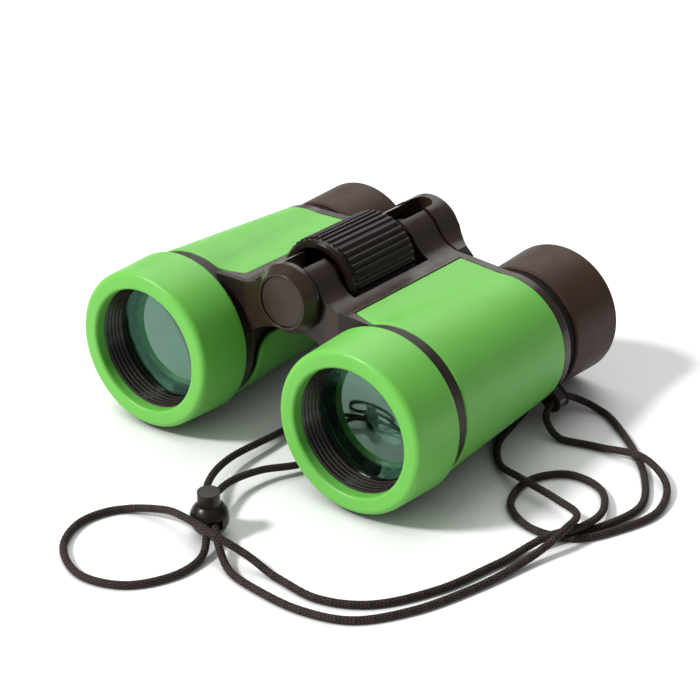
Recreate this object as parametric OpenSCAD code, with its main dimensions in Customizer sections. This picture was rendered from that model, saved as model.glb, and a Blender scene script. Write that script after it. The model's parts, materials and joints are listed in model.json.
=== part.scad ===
// Toy binoculars: two tapered barrels on a centre hinge, with a ribbed focus wheel that
// drives two sliding eyepieces, and a neck cord with a cord lock.
// +X points to the right barrel, the front lenses look along -Y, +Z is up, Z = 0 is the table.
// Sub-parts are drawn in a barrel frame: Y runs along the barrels from the front faces of the
// cups to the rear, and Z = 0 is the plane of the two barrel axes.

/* [Barrels] */
// Distance between the two barrel axes
axis_spacing = 62.4; // [60:0.2:66]
// Height of the hinge axis above the barrel axes
hinge_height = 17.7; // [16.5:0.1:19]
// Length of the bare band between cup and grip panel
band_len = 4; // [3.5:0.1:6]
// Diameter of the bare band
band_d = 38.4; // [37:0.1:39]
// Length of the rim behind the grip panel
rim_len = 2.5; // [1.5:0.1:4]
// Diameter of the rim behind the grip panel
rim_d = 34.4; // [34.2:0.1:36]
// Length of the groove in front of the eyecup
groove_len = 4.3; // [3.5:0.1:7]
// Depth of the shoulder between the groove and the eyecup's spigot
groove_shoulder = 1; // [0.6:0.1:1.4]
// Diameter of the spigot that carries the cup
cup_spigot_d = 35.3; // [35:0.1:36]
// Wall of the spigot that carries the eyecup
eye_spigot_wall = 2.14; // [1.8:0.02:2.4]

/* [Grip panels] */
// Length of the grip panel
grip_len = 44.4; // [42:0.2:52]
// Outer diameter of the grip panel at its front edge
grip_front_d = 39; // [38.6:0.1:40]
// Outer diameter of the grip panel at its rear edge
grip_rear_d = 34.6; // [34.4:0.1:37]
// Thickness of the grip panel
grip_wall = 1.2; // [0.8:0.1:1.6]
// Distance of the panel's upper edge from the hinge plane
panel_edge_x = 16.5; // [15.5:0.1:18]
// Setback of the panel's front corner beside the hinge
corner_setback = 2.2; // [1.5:0.1:3]
// Distance along the front edge over which the corner is set back
corner_run = 7; // [5:0.5:9]
// Height of the saddle shelf above the barrel axes
shelf_height = 17.8; // [17.4:0.1:18.2]
// Fall of the shelf from the panel edge to the top of the barrel
shelf_fall = 0.8; // [0.7:0.1:1.4]
// Radius of the valley between shelf and barrel
valley_r = 16; // [10:1:24]
// Angle below the horizontal at which the panel ends on the inner side
panel_end_angle = 22; // [18:1:40]

/* [Objective cups] */
// Length of the cup
cup_len = 15; // [14:0.1:17]
// Outer diameter of the cup at its rear edge
cup_rear_d = 41; // [40.4:0.1:42]
// Outer diameter of the cup at its front edge
cup_front_d = 39.8; // [39:0.1:40.4]
// Diameter of the cup's opening
cup_open_d = 31; // [30:0.1:31.6]
// Depth of the lip in front of the spigot
lip_len = 3; // [2.4:0.1:4]
// Rounding of the lip's outer edge
lip_round = 1.5; // [1:0.1:1.8]
// Rounding of the lip's inner edge
lip_inner_round = 0.8; // [0.4:0.1:1]
// Rounding of the edges that the binoculars stand on
foot_round = 0.8; // [0.5:0.1:1.2]

/* [Objectives] */
// Diameter of the objective lens
lens_d = 33.2; // [32.8:0.1:33.4]
// Radius of the lens's front face
lens_front_r = 70; // [50:1:120]
// Thickness of the lens from its front face to its shoulder, at the centre
lens_thick = 4.2; // [3.8:0.1:6]
// Length of the ribbed ring in front of the lens
ring_len = 5.6; // [5:0.1:7]
// Number of ridges inside the ribbed ring
ring_ridges = 5; // [3:1:8]
// Inner diameter of the ribbed ring at the lip
ring_front_d = 30.2; // [29.6:0.1:30.6]
// Inner diameter of the ribbed ring at the lens
ring_rear_d = 28.8; // [27:0.1:29.4]
// Depth of the grooves between the ridges
ridge_depth = 0.45; // [0.2:0.05:0.7]

/* [Eyecups] */
// Length of the eyecup
eyecup_len = 17.7; // [16.5:0.1:22]
// Wall of the eyecup at its front edge
eyecup_wall = 1.9; // [1.5:0.1:2.4]
// Flare of the eyecup towards its rear edge
eyecup_flare = 0.6; // [0.2:0.1:1.4]
// Diameter of the eyecup's opening
eye_open_d = 24; // [22:0.2:25]
// Depth of the eyecup's opening behind the spigot
eye_open_len = 4.5; // [3.6:0.1:6]
// Rounding of the eyecup's inner rear edge
eye_round = 1.6; // [1:0.1:2]

/* [Hinge] */
// Radius of the hinge knuckles on the right half
knuckle_r = 8.6; // [8.2:0.1:9]
// Radius of the front boss on the left half
boss_r = 8.7; // [8.2:0.1:9.2]
// Distance of the boss's front face from the cups' front faces
boss_y = 14.2; // [13.4:0.1:15]
// Length of the front boss
boss_len = 4; // [3.6:0.1:4.6]
// Width of the bevel round the boss's front face
bevel_w = 1.8; // [1.2:0.1:2]
// Length of the bevel along the hinge
bevel_len = 2.6; // [1.6:0.1:2.7]
// Diameter of the plain disc in the boss
disc_d = 12.5; // [11:0.1:13]
// Thickness of the plain disc
disc_t = 0.8; // [0.6:0.1:1.2]
// Depth of the recess that holds the disc
disc_recess = 1.2; // [1.2:0.1:1.6]
// Setback of the left web's front face behind the boss's front face
web_setback = 3; // [2.8:0.1:3.4]
// Length of the right half's front knuckle
front_knuckle_len = 8.1; // [7:0.1:9]
// Axial gap between neighbouring knuckles
knuckle_gap = 0.3; // [0.2:0.05:0.5]
// Radius of the saddle fillet above the shelf
saddle_r = 8.5; // [6:0.5:10]
// Radius of the arch under the bridge
arch_r = 14; // [11:1:18]
// Width of the slot along the top of the hinge
slot_w = 6; // [4:0.2:7]
// Height of the slot's floor above the hinge axis
slot_floor = 3.6; // [3.4:0.1:4.2]
// Length of the rear hinge cap
rear_cap_len = 8; // [6:0.1:9]
// Radius of the rear hinge cap
rear_cap_r = 9; // [8.6:0.1:9.4]
// Reach of the rear hinge cap's flare from the hinge axis
rear_cap_reach = 18.2; // [16:0.2:19]
// Length of the slot's round end in the rear hinge cap
rear_slot_len = 5.6; // [3:0.1:6]
// Diameter of the hinge pin
pin_d = 3; // [2.5:0.1:3.4]
// Depth of the pin's hole in the rear hinge cap
pin_hole_depth = 4; // [2.5:0.1:5]

/* [Focus drive] */
// Diameter of the focus wheel
wheel_d = 22.6; // [22:0.1:23]
// Length of the focus wheel
wheel_len = 24.4; // [20:0.1:26]
// Number of ribs round the focus wheel
wheel_ribs = 40; // [24:1:48]
// Radius of the ribs
rib_r = 0.52; // [0.4:0.02:0.6]
// Smooth rim in front of the ribs
wheel_rim = 1.8; // [1:0.1:3]
// Smooth rim behind the ribs
rear_rim = 0.3; // [0.2:0.1:1]
// Bevel of the rim's front edge
rim_bevel = 0.6; // [0.3:0.1:0.9]
// Thickness of the wheel's wall
wheel_wall = 2.2; // [1.8:0.1:3]
// Depth of the hollow in each end of the wheel
wheel_hollow = 8; // [4:0.5:10]
// Clearance between the wheel and the window round it
window_clear = 0.7; // [0.6:0.1:1.4]
// Thickness of the washer in front of the wheel
washer_t = 0.9; // [0.6:0.1:1.4]
// Diameter of the washer
washer_d = 8.4; // [7:0.1:10]
// Axial gap beside the washer and the left half's ear
axial_gap = 0.1; // [0.05:0.05:0.3]
// Length of the left half's ear behind the wheel
ear_len = 3.2; // [2.4:0.1:4]
// Radius of the left half's ear
ear_r = 7; // [6:0.1:8]
// Diameter of the focus screw
screw_d = 6; // [5:0.1:6.4]
// Wall in front of the focus compartment
compartment_wall = 1; // [0.8:0.1:1.6]
// Radius of the focus compartment
compartment_r = 6.4; // [6.2:0.1:6.8]
// Focus travel to either side of the middle
focus_travel = 1.5; // [1:0.1:1.6]
// Diameter of the focus nut's flanges
nut_d = 10.4; // [9.8:0.1:11]
// Diameter of the nut's neck that the left arm turns on
nut_neck_d = 8.4; // [8:0.1:9]
// Length of the nut's rear flange
nut_flange_len = 1.2; // [0.8:0.1:1.4]
// Clearance behind the nut at the end of its travel
nut_clear = 0.7; // [0.4:0.1:1]
// Outer diameter of the left arm's ring
arm_ring_d = 11.6; // [11:0.1:12]
// Thickness of the right focus arm
right_arm_t = 1.8; // [1.4:0.1:2]
// Thickness of the left focus arm
left_arm_t = 1.6; // [1.2:0.1:1.8]
// Height of the focus arms
arm_h = 4; // [3:0.1:5]
// Clearance round the focus arms in their slots
arm_clear = 0.3; // [0.2:0.05:0.5]

/* [Eyepieces] */
// Outer diameter of the sliding eyepiece tube
tube_d = 24.8; // [23.6:0.1:25.2]
// Wall of the sliding eyepiece tube
tube_wall = 1.5; // [1.3:0.1:2]
// Length of the sliding eyepiece tube
tube_len = 29; // [26:0.1:31]
// Gap between the tube's rear end and the spigot's rear end
tube_setback = 4.4; // [3:0.1:6]
// Wall of the tube round the eye lens
lens_wall = 2.7; // [2.4:0.1:3.2]
// Edge thickness of the eye lens
eye_lens_edge = 3; // [2.4:0.1:4]
// Radius of the eye lens's hollow faces
eye_lens_r = 60; // [50:1:90]
// Length of the ring that holds the eye lens
eye_ring_len = 2; // [1.5:0.1:2.6]
// Width of the seat and of the ring that hold the eye lens
eye_seat_w = 0.9; // [0.6:0.1:1.4]
// Depth of the pocket in the tube that takes the focus arm
arm_pocket = 0.8; // [0.5:0.1:1.1]

/* [Strap lugs] */
// Angle of the lug below the horizontal
lug_angle = 41; // [30:1:50]
// Distance of the lug's eye from the barrel axis
lug_eye_r = 19.2; // [18.8:0.1:20]
// Radius of the lug's round end
lug_r = 2.5; // [2.2:0.1:3]
// Diameter of the lug's eye
lug_eye_d = 2.6; // [2.2:0.1:3]
// Length of the lug along the barrel
lug_len = 4; // [3:0.1:5]

/* [Neck cord] */
// Diameter of the cord
cord_d = 1.8; // [1.4:0.1:2]
// Diameter of the cord lock's ball
lock_d = 9; // [8.6:0.1:10]
// Diameter of the cord lock's plunger
plunger_d = 5.2; // [4.8:0.1:5.6]
// Height of the plunger above the ball
plunger_rise = 2.2; // [2:0.1:3]
// Travel of the plunger
plunger_travel = 1; // [0.6:0.1:1.2]
// Width of the cord hole in the lock
lock_hole_w = 4.2; // [4:0.1:4.6]
// Height of the cord hole in the lock
lock_hole_h = 2.3; // [2.1:0.1:2.6]
// Diameter of the knot that stops the cord in the left lug
knot_d = 4.6; // [4:0.1:5]

/* [Fits] */
// Radial clearance of pins, screws and sliding tubes
running = 0.06; // [0.03:0.01:0.09]
// Gap left for the adhesive behind the grip panels
glue_gap = 0.08; // [0.06:0.01:0.12]
// Radial clearance of the pieces that are pushed in
push_gap = 0.05; // [0.02:0.01:0.1]

/* [Hidden] */
$fn = 64;

// Stations along the hinge
boss_end = boss_y + boss_len;
knuckle_y = boss_end + knuckle_gap;
window_y = knuckle_y + front_knuckle_len;
washer_y = window_y + axial_gap;
wheel_y = washer_y + washer_t + axial_gap;
ear_y = wheel_y + wheel_len + knuckle_gap + axial_gap;
window_end = ear_y + ear_len + knuckle_gap + axial_gap;
compartment_y = window_end + compartment_wall;
right_arm_y = compartment_y + arm_clear + focus_travel;
left_arm_y = right_arm_y + right_arm_t + running;
nut_flange_y = left_arm_y + left_arm_t + running;
nut_end = nut_flange_y + nut_flange_len;
hinge_end = nut_end + focus_travel + nut_clear;
window_r = wheel_d / 2 + window_clear;
pin_y = boss_y + disc_recess + knuckle_gap;

// Stations along the barrel
half_spacing = axis_spacing / 2;
grip_y = cup_len + band_len;
rim_y = grip_y + grip_len;
groove_y = max(rim_y + rim_len, hinge_end);
eyecup_y = groove_y + groove_len;
end_y = eyecup_y + eyecup_len;
spigot_end = end_y - eye_open_len;
ring_y = lip_len;
lens_touch_y = ring_y + ring_len;
lens_vertex_y = lens_touch_y - cap_height(lens_front_r, ring_rear_d / 2);
lens_shoulder_y = lens_vertex_y + lens_thick;
tube_y = spigot_end - tube_setback - tube_len;
tube_end = tube_y + tube_len;
screw_end = groove_y - axial_gap;
pin_end = groove_y + pin_hole_depth - axial_gap;

// Diameters that follow the sliding tube
tube_bore_d = tube_d - 2 * tube_wall;
eye_lens_d = tube_d - 2 * lens_wall;
eye_spigot_d = tube_d + 2 * running + 2 * eye_spigot_wall;
groove_d = eye_spigot_d + 2 * groove_shoulder;
eyecup_front_d = eye_spigot_d + 2 * eyecup_wall;
eyecup_rear_d = eyecup_front_d + 2 * eyecup_flare;

// Directions and stance
arm_angle = atan(hinge_height / half_spacing);
arm_reach = norm([half_spacing, hinge_height]);
arm_end = arm_reach - tube_d / 2 + arm_pocket;
cup_foot_r = cup_rear_d / 2 - foot_round;
eye_foot_r = eyecup_rear_d / 2 - foot_round;
cup_foot_y = cup_len - foot_round;
eye_foot_y = end_y - foot_round;
tilt = atan((cup_foot_r - eye_foot_r) / (eye_foot_y - cup_foot_y));
lip_foot_r = cup_front_d / 2 - lip_round;
front_reach = lip_round * cos(tilt) - lip_foot_r * sin(tilt) - lip_round;
rear_reach = eye_foot_y * cos(tilt) + eye_foot_r * sin(tilt) + foot_round;
mid_y = (front_reach + rear_reach) / 2 / cos(tilt);
lift = (cup_foot_y - mid_y) * sin(tilt) + cup_foot_r * cos(tilt) + foot_round;

// Saddle profile in the plane across the hinge
barrel_pt = [half_spacing, 0];
hinge_pt = [0, hinge_height];
shelf_pt = [panel_edge_x, shelf_height];
arch_root_r = groove_d / 2;
shelf_slope = shelf_fall / (half_spacing - panel_edge_x);
shelf_dir = [1, -shelf_slope] / norm([1, shelf_slope]);
shelf_normal = [shelf_slope, 1] / norm([1, shelf_slope]);

// Shape counts
panel_steps = 44;
valley_steps = 6;
panel_stations = 4;
cord_sides = 8;
fine = 360;
eps = 0.01;

// Cord routes, in the standing frame
lock_at = [12, -69, lock_d / 2];
lock_turn = -45;
plunger_foot = -lock_hole_h / 2 - 0.8;
spring_seat = plunger_foot - plunger_travel - 0.6;
spring_d = plunger_d - 2;
cord_left_route = [
    [-45.7, 17, 5.7], [-45.7, 22, 5.5], [-45.3, 25.8, 4.5], [-43.2, 28.7, 3.1],
    [-39.8, 29, 1.9], [-37, 26.9, 1.1], [-34.4, 24.4, 0.9], [-30.8, 23.3, 0.9],
    [-26, 23.2, 0.9], [-22, 22.6, 0.9], [-15.4, 18.8, 0.9], [-9.4, 10.4, 1], [-3.4, 1.8, 2.1],
    [3.2, -5.6, 2.9], [9.4, -13.6, 2], [12.4, -24, 1.2], [11.6, -36.5, 2.2], [7.2, -45.6, 3.3],
    [5.6, -54, 4], [6.7, -60.2, 4.5], [8.71, -64.37, 4.5], [12.04, -67.69, 4.5]
];
cord_middle_route = [
    [13.31, -68.96, 4.5], [15.64, -71.3, 4.35], [19.8, -74.8, 3], [26, -78.4, 1.1],
    [35, -79.9, 0.9], [47, -79.8, 0.9], [57.5, -76, 0.9], [65.5, -65.6, 0.9], [71.5, -50, 0.9],
    [75.4, -34, 2], [77.4, -25, 4.8], [76.6, -18.6, 4.9], [68.4, -13.6, 3.2], [56, -10.6, 2.9],
    [47.5, -6, 0.9], [42, 1.5, 0.9], [39.6, 12, 0.9], [38.2, 18.8, 0.9], [34.4, 23.2, 0.9],
    [29, 23.6, 0.9], [22, 20, 0.9], [16, 10.4, 0.9], [9.6, 0.8, 0.9], [3.4, -8, 0.9],
    [-0.7, -18, 1.2], [-1.5, -33, 2.6], [-1.9, -46, 3.4], [0, -54, 3.9], [3.4, -60.4, 4.4],
    [7.37, -65.71, 4.5], [10.69, -69.04, 4.5]
];
cord_right_route = [
    [11.96, -70.31, 4.5], [14.3, -72.64, 4.35], [17.8, -78, 1.4], [17.6, -86.5, 0.9],
    [11.5, -96, 0.9], [1, -99.2, 0.9], [-9.5, -93.6, 0.9], [-13.2, -84, 0.9],
    [-9.4, -74.9, 0.9], [0, -71.6, 2.9], [8.8, -74.2, 6], [18.6, -75.6, 6.2], [27, -73.8, 3.2],
    [35, -73.8, 0.9], [47, -74.4, 0.9], [57, -69.4, 0.9], [65.5, -56, 0.9], [70.4, -39, 0.9],
    [74, -26.6, 2.4], [78.4, -18.6, 2.9], [78.2, -10, 2.2], [71.5, -0.4, 0.9], [62.5, 0.2, 0.9],
    [56.9, -7.5, 0.9], [59, -18.6, 0.9], [68, -24, 0.9], [78, -21.4, 0.9], [84, -12, 0.9],
    [87.2, -1, 0.9], [83.6, 9.4, 1.6], [74.5, 14.5, 3], [62, 15, 1], [52, 12.6, 1.1],
    [47, 14.6, 3.8], [45.7, 19, 5.6], [45.7, 24, 5.3], [47.4, 28.2, 3.2], [53, 30.2, 0.9],
    [64.5, 23, 0.9], [77, 10.6, 0.9], [83, -1.5, 0.9], [80, -14.4, 0.9]
];

// Height of a sphere's cap of radius r over a disc of radius a
function cap_height(r, a) = r - sqrt(r * r - a * a);
function lerp(a, b, t) = a + (b - a) * t;
function unit(v) = v / norm(v);
function turn(a) = [cos(a), sin(a)];
function bearing(v) = atan2(v[1], v[0]);

// Centre of the fillet that touches circles of radius ra at pa and rb at pb, below both
function arch_centre(pa, ra, pb, rb, f) =
    let (d = norm(pb - pa), da = ra + f, db = rb + f)
    pa + da * turn(bearing(pb - pa) + acos((da * da + d * d - db * db) / (2 * da * d)));

// Centre of the fillet between the shelf and a knuckle of radius r
function saddle_centre(r) =
    let (rise = shelf_height + saddle_r - hinge_height)
    [sqrt((r + saddle_r) * (r + saddle_r) - rise * rise), shelf_height + saddle_r];

// Outline of the grip panel at barrel radius r: pairs of a point and its outward normal
function valley_centre(r) =
    let (w = shelf_pt + valley_r * shelf_normal - barrel_pt, along = w * shelf_dir)
    barrel_pt + w
        - (along + sqrt(along * along - w * w + (r + valley_r) * (r + valley_r))) * shelf_dir;
function panel_outline(r) =
    let (
        c = valley_centre(r),
        from = bearing(-shelf_normal),
        join = bearing(c - barrel_pt),
        to = join - 180
    )
    concat(
        [[shelf_pt, shelf_normal]],
        [for (i = [0 : valley_steps])
            let (a = turn(lerp(from, to, i / valley_steps)))
            [c + valley_r * a, -a]],
        [for (i = [1 : panel_steps])
            let (a = turn(lerp(join, panel_end_angle - 180, i / panel_steps)))
            [barrel_pt + r * a, a]]
    );

// Front edge of the panel, set back towards the hinge
function panel_front(x) =
    grip_y + corner_setback * min(1, max(0, 1 - (x - panel_edge_x) / corner_run));

// Closed strip between an outline and the same outline one wall further in, at share t of the panel
function strip_ring(outline, t) = concat(
    [for (p = outline) panel_point(p[0], t)],
    [for (i = [len(outline) - 1 : -1 : 0])
        panel_point(outline[i][0] - grip_wall * outline[i][1], t)]
);
function panel_point(q, t) = [q[0], lerp(panel_front(q[0]), rim_y, t), q[1]];

// Faces of a tube of n-point rings whose end rings are filled as strips
function tube_sides(rings, n) = [
    for (k = [0 : rings - 2], i = [0 : n - 1], half = [0, 1])
        let (a = k * n + i, b = k * n + (i + 1) % n)
        half == 0 ? [a, b, b + n] : [a, b + n, a + n]
];
function strip_cap(first, n, front) = [
    for (i = [0 : n / 2 - 2], half = [0, 1])
        let (a = first + i, b = a + 1, c = first + n - 2 - i, d = c + 1)
        front ? (half == 0 ? [a, d, c] : [a, c, b]) : (half == 0 ? [a, c, d] : [a, b, c])
];
function fan_cap(first, n, front) = [
    for (i = [1 : n - 2])
        front ? [first, first + i + 1, first + i] : [first, first + i, first + i + 1]
];

// Ring of a cord at point k of its route, square to the mean of the neighbouring runs
function cord_ring(route, k) =
    let (
        last = len(route) - 1,
        along = unit(route[min(k + 1, last)] - route[max(k - 1, 0)]),
        side = unit(cross(along, [0, 0, 1])),
        up = cross(side, along)
    )
    [for (i = [0 : cord_sides - 1])
        let (a = turn(360 * (i + 0.5) / cord_sides))
        route[k] + cord_d / 2 * (a[0] * side + a[1] * up)];
function flat(lists) = [for (list = lists, item = list) item];

// Places a child that is drawn in the barrel frame
module at_rest() {
    translate([0, 0, lift])
        rotate([-tilt, 0, 0])
            translate([0, -mid_y, 0])
                children();
}
module right() at_rest() children();
module left() at_rest() mirror([1, 0, 0]) children();

// Extrudes an outline across the barrels from y1 to y2
module slice(y1, y2) {
    translate([0, y2, 0])
        rotate([90, 0, 0])
            linear_extrude(height = y2 - y1)
                children();
}
// Turns a profile of radius and y round the right barrel's axis
module round_barrel() {
    translate([half_spacing, 0, 0])
        rotate([-90, 0, 0])
            rotate_extrude()
                children();
}
module round_hinge() {
    translate([0, 0, hinge_height])
        rotate([-90, 0, 0])
            rotate_extrude()
                children();
}
module barrel_rod(r, y1, y2) {
    translate([half_spacing, y1, 0])
        rotate([-90, 0, 0])
            cylinder(r = r, h = y2 - y1);
}
module hinge_rod(r, y1, y2) {
    translate([0, y1, hinge_height])
        rotate([-90, 0, 0])
            cylinder(r = r, h = y2 - y1);
}
// Frame whose +X runs from the hinge axis to the right barrel's axis
module along_arm() {
    translate([0, 0, hinge_height])
        rotate([0, arm_angle, 0])
            children();
}
module arm_bar(y1, y2, from, to, h) {
    along_arm()
        translate([from, y1, -h / 2])
            cube([to - from, y2 - y1, h]);
}

// Web from the barrel to a knuckle of radius r, with its top lowered by drop past the panel edge
module web_outline(r, drop) {
    saddle = saddle_centre(r);
    arch = arch_centre(barrel_pt, arch_root_r, hinge_pt, r, arch_r);
    wall_pt = shelf_pt - [glue_gap, 0];
    difference() {
        union() {
            polygon([
                barrel_pt,
                [half_spacing, shelf_height - shelf_fall - drop],
                wall_pt - drop * shelf_normal,
                wall_pt,
                [saddle[0], shelf_height],
                hinge_pt + r * unit(saddle - hinge_pt),
                hinge_pt,
                hinge_pt + r * unit(arch - hinge_pt),
                barrel_pt + arch_root_r * unit(arch - barrel_pt)
            ]);
            translate(hinge_pt) circle(r);
        }
        translate(saddle) circle(saddle_r);
        translate(arch) circle(arch_r);
    }
}

// Barrel of revolution: spigots, band, seat of the grip panel, rim and groove
module barrel_solid() {
    seat_drop = grip_wall + glue_gap;
    round_barrel()
        polygon([
            [0, lip_len],
            [cup_spigot_d / 2, lip_len],
            [cup_spigot_d / 2, cup_len],
            [band_d / 2, cup_len],
            [band_d / 2, grip_y],
            [grip_front_d / 2 - seat_drop, grip_y],
            [grip_rear_d / 2 - seat_drop, rim_y],
            [rim_d / 2, rim_y],
            [rim_d / 2, groove_y],
            [groove_d / 2, groove_y],
            [groove_d / 2, eyecup_y],
            [eye_spigot_d / 2, eyecup_y],
            [eye_spigot_d / 2, spigot_end],
            [0, spigot_end]
        ]);
}
module barrel_hollow() {
    guide_r = tube_d / 2 + running;
    guide_y = tube_y - focus_travel - axial_gap;
    shoulder_r = ring_rear_d / 2 + push_gap;
    round_barrel()
        polygon([
            [0, lip_len - eps],
            [lens_d / 2 + push_gap, lip_len - eps],
            [lens_d / 2 + push_gap, lens_shoulder_y],
            [shoulder_r, lens_shoulder_y],
            [shoulder_r, lens_shoulder_y + ring_len],
            [guide_r, guide_y],
            [guide_r, spigot_end + eps],
            [0, spigot_end + eps]
        ]);
}
module strap_lug() {
    translate([half_spacing, 0, 0])
        rotate([0, lug_angle, 0])
            slice(rim_y, rim_y + lug_len)
                difference() {
                    union() {
                        translate([0, -lug_r]) square([lug_eye_r, 2 * lug_r]);
                        translate([lug_eye_r, 0]) circle(lug_r);
                    }
                    translate([lug_eye_r, 0]) circle(d = lug_eye_d);
                }
}
// Barrel with its web, still solid, from web_y to the groove
module half_solid(r, web_y) {
    barrel_solid();
    strap_lug();
    slice(web_y, grip_y) web_outline(r, 0);
    slice(grip_y, rim_y) web_outline(r, grip_wall + glue_gap);
    slice(rim_y, groove_y) web_outline(r, 0);
    corner_fill(r);
}
// Full height of the shelf in front of the panel's set-back corner
module corner_fill(r) {
    gap = 2 * glue_gap;
    intersection() {
        slice(grip_y - 1, rim_y) web_outline(r, 0);
        linear_extrude(height = 2 * shelf_height)
            polygon([
                [panel_edge_x - 1, grip_y - 0.5],
                [panel_edge_x + corner_run - gap, grip_y - 0.5],
                [panel_edge_x + corner_run - gap, grip_y],
                [panel_edge_x, grip_y + corner_setback - gap],
                [panel_edge_x - 1, grip_y + corner_setback - gap]
            ]);
    }
}
module hinge_slot(y1, y2) {
    translate([-slot_w / 2, y1, hinge_height + slot_floor])
        cube([slot_w, y2 - y1, knuckle_r]);
}

module right_barrel() {
    color("#2b2422")
        right()
            difference() {
                half_solid(knuckle_r, knuckle_y);
                barrel_hollow();
                hinge_rod(window_r, window_y, window_end);
                hinge_rod(pin_d / 2 + running, knuckle_y - eps, window_y + eps);
                hinge_rod(screw_d / 2 + running, window_end - eps, compartment_y + eps);
                hinge_rod(compartment_r, compartment_y, groove_y + eps);
                hinge_slot(knuckle_y - eps, window_y + eps);
                hinge_slot(window_end - eps, groove_y + eps);
                right_arm_slot();
                left_arm_sweep();
            }
}
module right_arm_slot() {
    arm_bar(
        right_arm_y - focus_travel - arm_clear,
        right_arm_y + right_arm_t + focus_travel + arm_clear,
        0, arm_reach, arm_h + 2 * arm_clear
    );
}
// Sector of the knuckle that the left arm swings through when the barrels fold
module left_arm_sweep() {
    swing = 36;
    half_height = asin((arm_h / 2 + arm_clear) / compartment_r);
    middle = 180 + arm_angle;
    reach = 2 * knuckle_r;
    sweep = swing + half_height;
    slice(
        left_arm_y - focus_travel - arm_clear,
        left_arm_y + left_arm_t + focus_travel + arm_clear
    )
        translate(hinge_pt)
            polygon(concat(
                [[0, 0]],
                [for (i = [-3 : 3]) reach * turn(middle + sweep * i / 3)]
            ));
}

module left_barrel() {
    color("#2b2422")
        left()
            difference() {
                union() {
                    difference() {
                        half_solid(boss_r, boss_y + web_setback);
                        hinge_rod(window_r, boss_end, groove_y + eps);
                    }
                    front_boss();
                    slice(ear_y, ear_y + ear_len) web_outline(ear_r, grip_wall + glue_gap);
                }
                barrel_hollow();
                hinge_rod(disc_d / 2 + push_gap, boss_y - eps, boss_y + disc_recess);
                hinge_rod(pin_d / 2 + running, boss_y, boss_end + eps);
                hinge_rod(screw_d / 2 + running, ear_y - eps, ear_y + ear_len + eps);
                left_arm_slot();
            }
}
module left_arm_slot() {
    arm_bar(
        left_arm_y - focus_travel - arm_clear,
        left_arm_y + left_arm_t + focus_travel + arm_clear,
        0, arm_reach, arm_h + 2 * arm_clear
    );
}
module front_boss() {
    round_hinge()
        polygon([
            [0, boss_y],
            [boss_r - bevel_w, boss_y],
            [boss_r, boss_y + bevel_len],
            [boss_r, boss_end],
            [0, boss_end]
        ]);
}

module grip() {
    outlines = [
        for (k = [0 : panel_stations])
            panel_outline(lerp(grip_front_d, grip_rear_d, k / panel_stations) / 2)
    ];
    n = 2 * len(outlines[0]);
    rings = panel_stations + 1;
    points = flat([
        for (k = [0 : panel_stations])
            strip_ring(outlines[k], k / panel_stations)
    ]);
    faces = concat(
        tube_sides(rings, n),
        strip_cap(0, n, true),
        strip_cap((rings - 1) * n, n, false)
    );
    polyhedron(points, faces);
}
module right_grip() color("#63c24c") right() grip();
module left_grip() color("#63c24c") left() grip();

module cup() {
    round_barrel()
        union() {
            polygon([
                [cup_open_d / 2 + lip_inner_round, 0],
                [lip_foot_r, 0],
                [cup_front_d / 2, lip_round],
                [cup_rear_d / 2, cup_foot_y],
                [cup_foot_r, cup_len],
                [cup_spigot_d / 2 + push_gap, cup_len],
                [cup_spigot_d / 2 + push_gap, lip_len],
                [cup_open_d / 2, lip_len],
                [cup_open_d / 2, lip_inner_round]
            ]);
            translate([lip_foot_r, lip_round]) circle(lip_round);
            translate([cup_open_d / 2 + lip_inner_round, lip_inner_round]) circle(lip_inner_round);
            translate([cup_foot_r, cup_foot_y]) circle(foot_round);
        }
}
module right_cup() color("#63c24c") right() cup();
module left_cup() color("#63c24c") left() cup();

module objective_ring() {
    pitch = ring_len / ring_ridges;
    round_barrel()
        polygon(concat(
            [
                [ring_rear_d / 2, lens_touch_y],
                [lens_d / 2, lens_touch_y],
                [lens_d / 2, ring_y]
            ],
            [for (i = [0 : ring_ridges - 1], half = [0, 1])
                let (crest = lerp(ring_front_d, ring_rear_d, i / ring_ridges) / 2)
                half == 0
                    ? [crest + ridge_depth, ring_y + i * pitch]
                    : [crest, ring_y + (i + 0.6) * pitch]]
        ));
}
module right_objective_ring() color("#1d1817") right() objective_ring();
module left_objective_ring() color("#1d1817") left() objective_ring();

module objective_lens() {
    round_barrel()
        intersection() {
            translate([0, lens_vertex_y]) square([lens_d / 2, lens_thick]);
            translate([0, lens_vertex_y + lens_front_r]) circle(lens_front_r, $fn = fine);
        }
}
module right_objective_lens() color("#7fae9e", 0.5) right() objective_lens();
module left_objective_lens() color("#7fae9e", 0.5) left() objective_lens();

module eyecup() {
    bore_r = eye_spigot_d / 2 + push_gap;
    round_barrel()
        difference() {
            union() {
                polygon([
                    [bore_r, eyecup_y],
                    [eyecup_front_d / 2 - foot_round, eyecup_y],
                    [eyecup_front_d / 2, eyecup_y + foot_round],
                    [eyecup_rear_d / 2, eye_foot_y],
                    [eye_foot_r, end_y],
                    [eye_open_d / 2, end_y],
                    [eye_open_d / 2, spigot_end],
                    [bore_r, spigot_end]
                ]);
                translate([eyecup_front_d / 2 - foot_round, eyecup_y + foot_round])
                    circle(foot_round);
                translate([eye_foot_r, eye_foot_y]) circle(foot_round);
            }
            difference() {
                translate([eye_open_d / 2 - eps, end_y - eye_round])
                    square([eye_round + eps, eye_round + eps]);
                translate([eye_open_d / 2 + eye_round, end_y - eye_round]) circle(eye_round);
            }
        }
}
module right_eyecup() color("#3a302c") right() eyecup();
module left_eyecup() color("#3a302c") left() eyecup();

module hinge_pin() color("silver") right() hinge_rod(pin_d / 2, pin_y, pin_end);

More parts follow.
